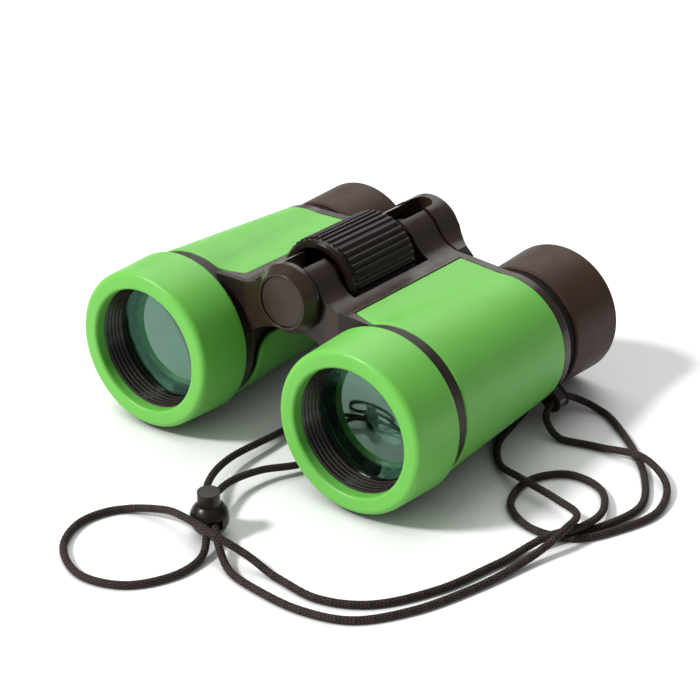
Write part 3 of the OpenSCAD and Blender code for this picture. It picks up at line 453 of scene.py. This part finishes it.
def panel_outline(r, shares):
    """The panel's outline across a barrel of radius r, at shares of its length.

    Returns points, outward normals, and distances from the outline's nearer end. The valley's centre lies
    VALLEY_R above the shelf, and as far outside the barrel.
    """
    barrel = np.array([HALF_SPACING, 0.0])
    across = np.array([1, -SHELF_SLOPE]) / math.hypot(1, SHELF_SLOPE)
    normal = np.array([SHELF_SLOPE, 1]) / math.hypot(1, SHELF_SLOPE)
    above = SHELF + VALLEY_R * normal - barrel
    along = above @ across
    back = along + math.sqrt(along * along - above @ above + (r + VALLEY_R) ** 2)
    valley = barrel + above - back * across
    foot = valley - VALLEY_R * normal
    start = math.atan2(-normal[1], -normal[0])
    join = math.atan2(*(valley - barrel)[::-1])
    straight = np.linspace(0, 1, SHELF_POINTS, endpoint=False)[:, None]
    hollow = unit_arc(start, join - math.pi, VALLEY_POINTS, endpoint=False)
    round_barrel = unit_arc(join, math.radians(PANEL_END), BARREL_POINTS)
    points = np.vstack([
        SHELF + (foot - SHELF) * straight,
        valley + VALLEY_R * hollow,
        barrel + r * round_barrel,
    ])
    normals = np.vstack([np.repeat(normal[None], SHELF_POINTS, axis=0), -hollow, round_barrel])
    run = length_run(points)
    places = shares * run[-1]
    near_end = np.minimum(places, run[-1] - places)
    return values_at(places, run, points), values_at(places, run, normals), near_end


def edge_drop(u, v):
    """Drop of a rounded rim at distances u and v from the two nearest edges."""
    a = np.maximum(0, GRIP_EDGE_ROUND - u)
    b = np.maximum(0, GRIP_EDGE_ROUND - v)
    return GRIP_EDGE_ROUND - np.sqrt(np.maximum(0, GRIP_EDGE_ROUND ** 2 - a * a - b * b))


def edge_shares(length, count):
    """Shares of a length for rows of points, close together beside both edges and even between them."""
    rim = np.array(EDGE_ROWS) / length
    return np.concatenate([rim, np.linspace(rim[-1], 1 - rim[-1], count)[1:-1], 1 - rim[::-1]])


def panel_faces(n, m):
    """Faces of a closed panel: m rows of n points on its outside, as many inside, and its rim."""
    faces = []
    for k in range(m - 1):
        for i in range(n - 1):
            a = k * n + i
            b = n * m + a
            faces.append((a, a + n, a + n + 1, a + 1))
            faces.append((b, b + 1, b + n + 1, b + n))
    rim = list(range(n))
    rim += [k * n + n - 1 for k in range(1, m)]
    rim += [(m - 1) * n + i for i in range(n - 2, -1, -1)]
    rim += [k * n for k in range(m - 2, 0, -1)]
    faces += [(a, b, n * m + b, n * m + a) for a, b in zip(rim, rim[1:] + rim[:1])]
    return faces


def stood(points):
    """Points in the barrels' own frame, measured from the cups' lips, as they stand on the floor."""
    y, z = points[:, 1] - SLIDE_Y, points[:, 2]
    return np.stack([
        points[:, 0],
        STAND_Y + y * math.cos(TILT) + z * math.sin(TILT),
        STAND_Z + z * math.cos(TILT) - y * math.sin(TILT),
    ], axis=1)


def make_grip(name, side):
    """A panel with rounded edges. Its outline's far end is on the barrel's inner side."""
    across = edge_shares(PANEL_WIDTH, ROWS_ACROSS)
    along = edge_shares(RIM_Y - GRIP_Y, ROWS_ALONG)
    far_half = across > 0.5
    top, low = [], []
    for t in along:
        r = GRIP_RADII[0] + (GRIP_RADII[1] - GRIP_RADII[0]) * t
        p, n, u = panel_outline(r, across)
        front = GRIP_Y + CORNER_SETBACK * np.clip(1 - (p[:, 0] - SHELF[0]) / CORNER_RUN, 0, 1)
        inner = np.where(far_half, np.maximum(0, INNER_CORNER_R - u), 0)
        front += INNER_CORNER_R - np.sqrt(INNER_CORNER_R ** 2 - inner ** 2)
        y = front + (RIM_Y - front) * t
        drop = edge_drop(u, np.minimum(y - front, RIM_Y - y))
        for rows, depth in ((top, drop), (low, np.full(len(u), GRIP_WALL))):
            q = p - depth[:, None] * n
            rows.append(np.stack([side * q[:, 0], y, q[:, 1]], axis=1))
    points = stood(np.vstack(top + low))
    faces = panel_faces(len(across), len(along))
    if side < 0:
        faces = [face[::-1] for face in faces]
    return new_mesh(name, points * MM, faces, MATERIALS["grip_green"])


def make_grips():
    for side, node, body in ((1, "right_grip", "right_half"), (-1, "left_grip", "left_half")):
        piece = make_grip(node + "_smooth", side)
        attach(piece, body)
        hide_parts(node)


# Material nodes

def start_material(name):
    material = bpy.data.materials.new(name)
    material.use_nodes = True
    tree = material.node_tree
    return material, tree, tree.nodes["Principled BSDF"]


def set_inputs(tree, node, inputs):
    """Sets a node's inputs to values, or links them to other nodes' outputs."""
    for key, value in inputs.items():
        socket = node.inputs[key]
        if isinstance(value, bpy.types.NodeSocket):
            tree.links.new(value, socket)
        else:
            socket.default_value = value


def add(tree, kind, inputs=None, **settings):
    """A new node with these settings and inputs."""
    node = tree.nodes.new(kind)
    for key, value in settings.items():
        setattr(node, key, value)
    set_inputs(tree, node, inputs or {})
    return node


def maths(tree, operation, *values):
    """The output of a Math node on values or other nodes' outputs."""
    return add(tree, "ShaderNodeMath", dict(enumerate(values)), operation=operation).outputs[0]


def object_place(tree):
    return add(tree, "ShaderNodeTexCoord").outputs["Object"]


def noise(tree, size, detail):
    """Noise whose lumps are about size across, fixed to the piece."""
    inputs = {"Vector": object_place(tree), "Scale": 1 / (size * MM), "Detail": detail}
    return add(tree, "ShaderNodeTexNoise", inputs).outputs["Fac"]


def ranged(tree, value, low, high, span=NOISE_RANGE):
    """The value, with the span that it moves in mapped to low and high."""
    inputs = {"Value": value, "From Min": span[0], "From Max": span[1], "To Min": low, "To Max": high}
    return add(tree, "ShaderNodeMapRange", inputs).outputs["Result"]


def mixed(tree, factor, one, two):
    """The colour between one and two, each three numbers or another node's output."""
    node = add(tree, "ShaderNodeMix", {"Factor": factor}, data_type="RGBA")
    for key, colour in ((MIX_ONE, one), (MIX_TWO, two)):
        linked = isinstance(colour, bpy.types.NodeSocket)
        set_inputs(tree, node, {key: colour if linked else (*colour, 1)})
    return node.outputs[MIX_RESULT]


def along_barrel(tree, place):
    """The place along the barrels, in metres from the cups' lips."""
    axis = (0, math.cos(TILT), -math.sin(TILT))
    along = add(tree, "ShaderNodeVectorMath", {0: place, 1: axis}, operation="DOT_PRODUCT")
    shift = SLIDE_Y - STAND_Y * math.cos(TILT) + STAND_Z * math.sin(TILT)
    return maths(tree, "ADD", along.outputs["Value"], shift * MM)


# Materials

def ridge_highlights(tree):
    """1 on the crests of the front rings' ridges, where a pale highlight is painted, and 0 between them."""
    middle = 0.5
    along = along_barrel(tree, object_place(tree))
    first_crest = RIDGES_Y / RIDGE_PITCH + RIDGE_CREST
    turns = maths(tree, "MULTIPLY_ADD", along, 1 / (RIDGE_PITCH * MM), middle - first_crest)
    phase = maths(tree, "FRACT", turns)
    aside = maths(tree, "ABSOLUTE", maths(tree, "SUBTRACT", phase, middle))
    return ranged(tree, aside, 1, 0, RIDGE_HIGHLIGHT_FADE)


def painted_band_shade(tree):
    """Shares of painted shade on the shell: 0 on its outside, more in the front band, most in the rear groove."""
    place = object_place(tree)
    along = along_barrel(tree, place)
    soft = BAND_SOFT * MM
    front, rear, hinge = BAND_FRONT_Y * MM, BAND_REAR_Y * MM, BAND_X * MM
    before = ranged(tree, along, 1 - FRONT_SHADE, 0, (front - soft, front))
    behind = ranged(tree, along, 0, 1 - REAR_SHADE, (rear, rear + soft))
    across = maths(tree, "ABSOLUTE", add(tree, "ShaderNodeSeparateXYZ", {0: place}).outputs["X"])
    aside = ranged(tree, across, 0, 1, (hinge, hinge + soft))
    return maths(tree, "MULTIPLY", maths(tree, "MAXIMUM", before, behind), aside)


def moulded(name, colour, variation, roughness, grain, grain_depth, edge, specular):
    """A moulded plastic or rubber: cloudy colour, painted shade in its hollows, a fine grain and softened edges.
    """
    material, tree, shader = start_material(name)
    low = [c * (1 - variation) for c in colour]
    high = [c * (1 + variation) for c in colour]
    base = mixed(tree, ranged(tree, noise(tree, *CLOUD), 0, 1), low, high)
    patches = noise(tree, *GLOSS_PATCHES)
    rough = ranged(tree, patches, roughness - ROUGHNESS_SPREAD, roughness + ROUGHNESS_SPREAD)
    if name == "shell_black":
        # Painted shade: the shell's colour is darkened towards black in its sunken front band and rear groove
        shade = painted_band_shade(tree)
        base = mixed(tree, shade, base, (0, 0, 0))
        rough = maths(tree, "MAXIMUM", rough, maths(tree, "MULTIPLY", shade, BAND_ROUGHNESS))
    if name == "ring_black":
        # Painted highlight: a pale line along the crest of each ridge
        base = mixed(tree, ridge_highlights(tree), base, RIDGE_HIGHLIGHT_COLOUR)
    # Painted shade: ambient occlusion darkens the colour in hollows, grooves and gaps between parts
    around = {"Color": base, "Distance": HOLLOW_SHADE_REACH * MM}
    hollow = add(tree, "ShaderNodeAmbientOcclusion", around, samples=OCCLUSION_SAMPLES)
    soft = add(tree, "ShaderNodeBevel", {"Radius": edge * MM}, samples=EDGE_SAMPLES)
    bump = add(tree, "ShaderNodeBump", {
        "Height": noise(tree, grain, GRAIN_DETAIL),
        "Distance": grain_depth * MM,
        "Strength": 1.0,
        "Normal": soft.outputs["Normal"],
    })
    set_inputs(tree, shader, {
        "Base Color": hollow.outputs["Color"],
        "Roughness": rough,
        "Normal": bump.outputs["Normal"],
        "Specular IOR Level": specular,
    })
    return material


def lens_material():
    """Coated glass with a little dust."""
    material, tree, shader = start_material("lens_clear")
    set_inputs(tree, shader, {
        "Base Color": LENS_COLOUR,
        "Transmission Weight": 1.0,
        "IOR": LENS_IOR,
        "Specular Tint": LENS_TINT,
        "Roughness": ranged(tree, noise(tree, *DUST), *DUST_ROUGHNESS, DUST_RANGE),
    })
    return material


def braid_material():
    """Braided cord: painted shade in the gaps, paler strands and fine fibres."""
    material, tree, shader = start_material("cord_braid")
    height = add(tree, "ShaderNodeAttribute", attribute_name="braid").outputs["Fac"]
    fibre = noise(tree, *FIBRE)
    bump = add(tree, "ShaderNodeBump", {
        "Height": fibre,
        "Distance": FIBRE_DEPTH * MM,
        "Strength": FIBRE_STRENGTH,
    })
    # Painted shade: the colour goes dark where the braid's height is low, in the gaps between strands
    set_inputs(tree, shader, {
        "Base Color": mixed(tree, ranged(tree, height, 0, 1, BRAID_RANGE), BRAID_GAP_SHADE, BRAID_LIGHT),
        "Roughness": ranged(tree, fibre, *BRAID_ROUGHNESS),
        "Normal": bump.outputs["Normal"],
        "Specular IOR Level": BRAID_SPECULAR,
        "Sheen Weight": BRAID_SHEEN,
        "Sheen Roughness": BRAID_SHEEN_ROUGHNESS,
    })
    return material


def metal(name, colour, roughness):
    """A bare metal with brushed marks."""
    material, tree, shader = start_material(name)
    marks = noise(tree, *BRUSHED)
    set_inputs(tree, shader, {
        "Base Color": mixed(tree, marks, [c * BRUSHED_DARK for c in colour], colour),
        "Roughness": ranged(tree, marks, roughness, roughness + BRUSHED_SPREAD),
        "Metallic": 1.0,
    })
    return material


MATERIALS = {name: moulded(name, *finish) for name, finish in MOULDED.items()}
MATERIALS.update({name: metal(name, *finish) for name, finish in METALS.items()})
MATERIALS["lens_clear"] = lens_material()
MATERIALS["cord_braid"] = braid_material()


def dress_nodes():
    for subpart in frame["record"]["subparts"]:
        node = nodes[subpart["node"]]
        node.data.materials.clear()
        node.data.materials.append(MATERIALS[subpart["material_slot"]])


# Floor and light

def seen_rays(tree):
    """1 for what the camera sees, straight or through glass, and 0 for other light."""
    path = add(tree, "ShaderNodeLightPath")
    return maths(tree, "MAXIMUM", path.outputs["Is Camera Ray"], path.outputs["Is Transmission Ray"])


def floor_material():
    """White where it is seen, greyer as a light on the object, and with painted shade close to what stands on it.
    """
    material, tree, shader = start_material("floor_white")
    mirrored = add(tree, "ShaderNodeLightPath").outputs["Is Glossy Ray"]
    seen = maths(tree, "MAXIMUM", seen_rays(tree), mirrored)
    colour = mixed(tree, seen, FLOOR_BOUNCE, FLOOR_WHITE)
    around = {"Distance": CONTACT_REACH * MM}
    near = add(tree, "ShaderNodeAmbientOcclusion", around, samples=OCCLUSION_SAMPLES)
    bare = ranged(tree, near.outputs["AO"], 0, 1, (0, CONTACT_OPEN))
    # Painted shade: ambient occlusion darkens the floor's colour and takes away its lift near the object
    set_inputs(tree, shader, {
        "Base Color": mixed(tree, bare, FLOOR_CONTACT_SHADE, colour),
        "Roughness": FLOOR_ROUGHNESS,
        "Specular IOR Level": FLOOR_SPECULAR,
        "Emission Color": WHITE,
        "Emission Strength": maths(tree, "MULTIPLY", maths(tree, "MULTIPLY", seen, FLOOR_LIFT), bare),
    })
    return material


def make_floor():
    s = FLOOR_SIZE / 2 * MM
    corners = [(-s, -s, 0), (s, -s, 0), (s, s, 0), (-s, s, 0)]
    floor = new_mesh("floor", corners, [(0, 1, 2, 3)], floor_material(), smooth=False)


def make_suns():
    for i, (toward, strength, size) in enumerate(SUNS):
        sun = bpy.data.lights.new(f"sun_{i}", "SUN")
        sun.energy = strength
        sun.angle = math.radians(size)
        lamp = bpy.data.objects.new(f"sun_{i}", sun)
        lamp.rotation_euler = Vector(toward).to_track_quat("Z", "Y").to_euler()
        bpy.context.scene.collection.objects.link(lamp)


def make_world():
    """White where it is seen, dimmer as a light, so the shadows and the blacks keep their depth."""
    world = bpy.data.worlds.new("world")
    bpy.context.scene.world = world
    world.use_nodes = True
    tree = world.node_tree
    dim = tree.nodes["Background"]
    set_inputs(tree, dim, {"Color": WHITE, "Strength": AMBIENT})
    white = add(tree, "ShaderNodeBackground", {"Color": WHITE, "Strength": 1.0})
    both = add(tree, "ShaderNodeMixShader", {0: seen_rays(tree), 1: dim.outputs[0], 2: white.outputs[0]})
    set_inputs(tree, tree.nodes["World Output"], {"Surface": both.outputs[0]})


make_camera()
dress_nodes()
make_cords()
make_grips()
make_floor()
make_suns()
make_world()
bpy.context.scene.view_settings.view_transform = "Standard"
